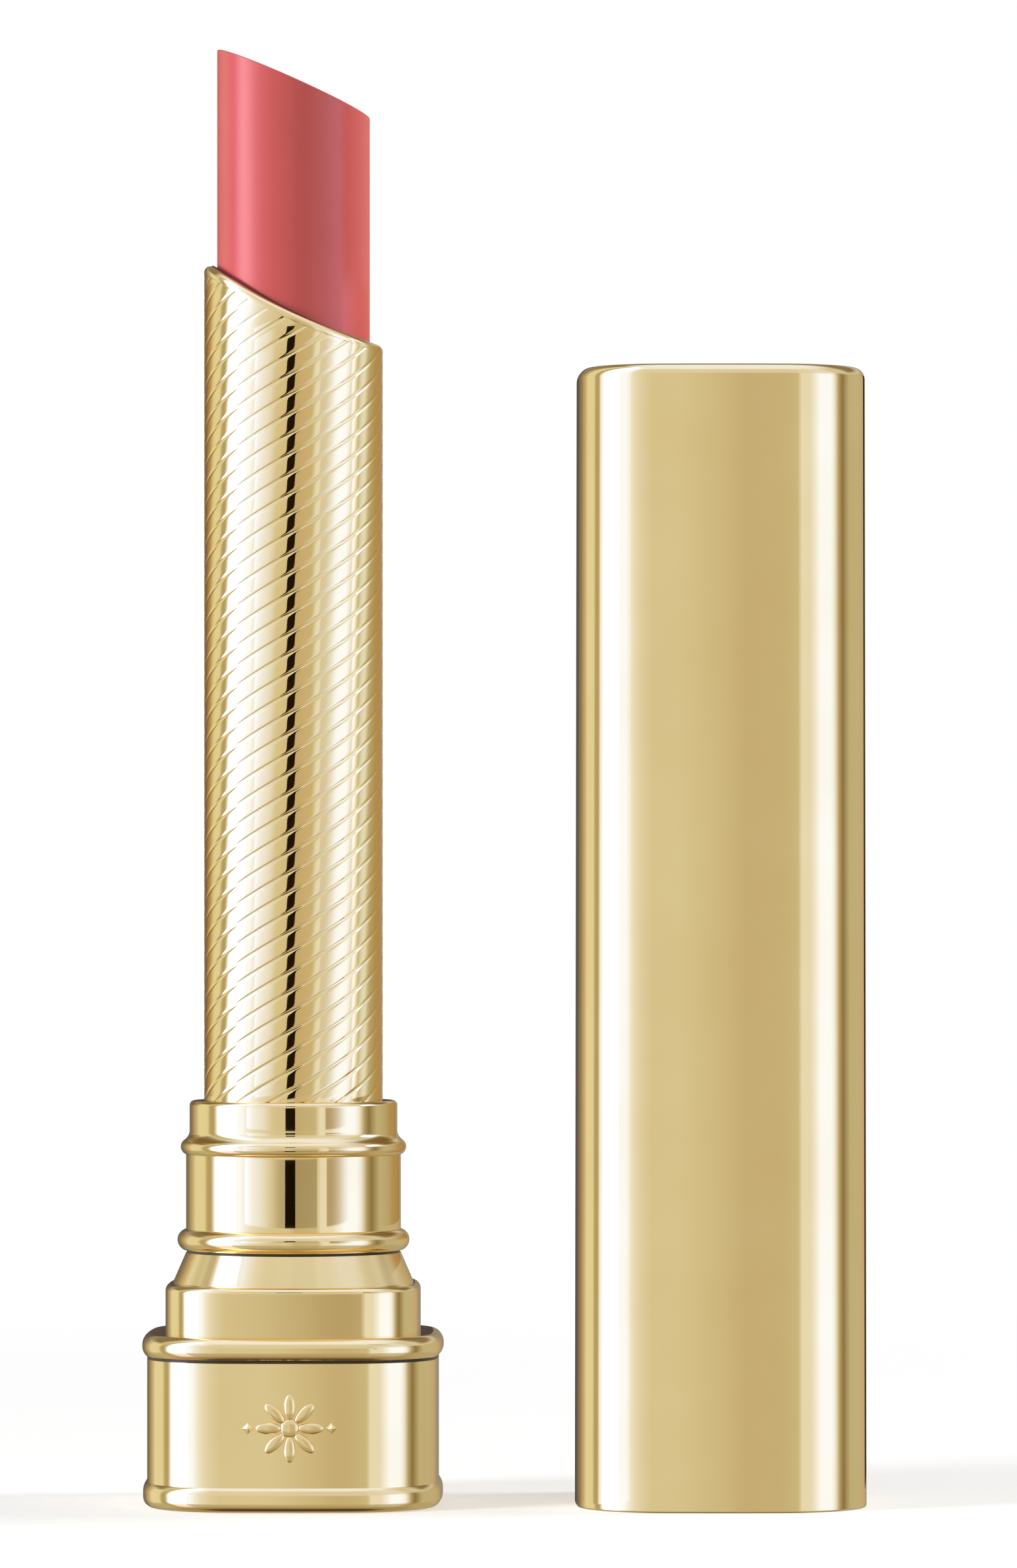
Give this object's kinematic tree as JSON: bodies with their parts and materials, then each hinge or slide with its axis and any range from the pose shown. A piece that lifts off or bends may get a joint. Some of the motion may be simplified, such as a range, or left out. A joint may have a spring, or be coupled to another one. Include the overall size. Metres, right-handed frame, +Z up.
{
  "type": "lipstick case",
  "caption": "Open twist-up lipstick on a square gold base with a stepped collar and a spiral-engraved slant-top sleeve, its tall square cap standing beside it.",
  "frame": {"origin": "centre of the base's underside, on the surface the lipstick stands on", "axes": "+Z up along the sleeve's axis, the ornament's face looks along -Y, and the cap stands beside the base on +X"},
  "size_m": [0.0447, 0.0186, 0.0898],
  "materials": {
    "gold": "polished pale gold plating",
    "engraved_gold": "polished pale gold plating with engraved spiral lines",
    "inner_plastic": "moulded black plastic",
    "liner_plastic": "moulded gold-tinted plastic",
    "steel": "bare steel",
    "cup_aluminium": "gold anodised",
    "drag_rubber": "greased silicone",
    "label_film": "blank matt film",
    "lipstick": "waxy, soft sheen"
  },
  "bodies": {
    "base": {"base_shell": "gold", "base_ornament": "gold", "cap_plug": "gold", "base_core": "inner_plastic", "base_weight": "steel", "base_plate": "gold", "shade_label": "label_film", "retaining_clip": "steel", "glide_washer": "inner_plastic", "spiral_cam": "inner_plastic"},
    "sleeve": {"stepped_collar": "gold", "collar_bush": "inner_plastic", "drag_ring": "drag_rubber", "engraved_sleeve": "engraved_gold", "guide_tube": "inner_plastic"},
    "carrier": {"carrier_stem": "inner_plastic", "bullet_cup": "cup_aluminium", "bullet": "lipstick"},
    "cap": {"cap_shell": "gold", "cap_liner": "liner_plastic"}
  },
  "joints": [
    {"name": "twist", "type": "hinge", "parent": "base", "child": "sleeve", "pos_m": [0, 0, 0.0156], "axis": [0, 0, 1], "range_deg": [-310, 230]},
    {"name": "bullet_lift", "type": "slide", "parent": "sleeve", "child": "carrier", "axis": [0, 0, 1], "range_m": [-0.0155, 0.0115]},
    {"name": "cap_lift", "type": "slide", "parent": "base", "child": "cap", "axis": [0, 0, 1], "range_m": [0, 0.09]}
  ],
  "couplings": [
    {"joint": "bullet_lift", "follows": "twist", "m_per_rad": 0.0028648}
  ]
}
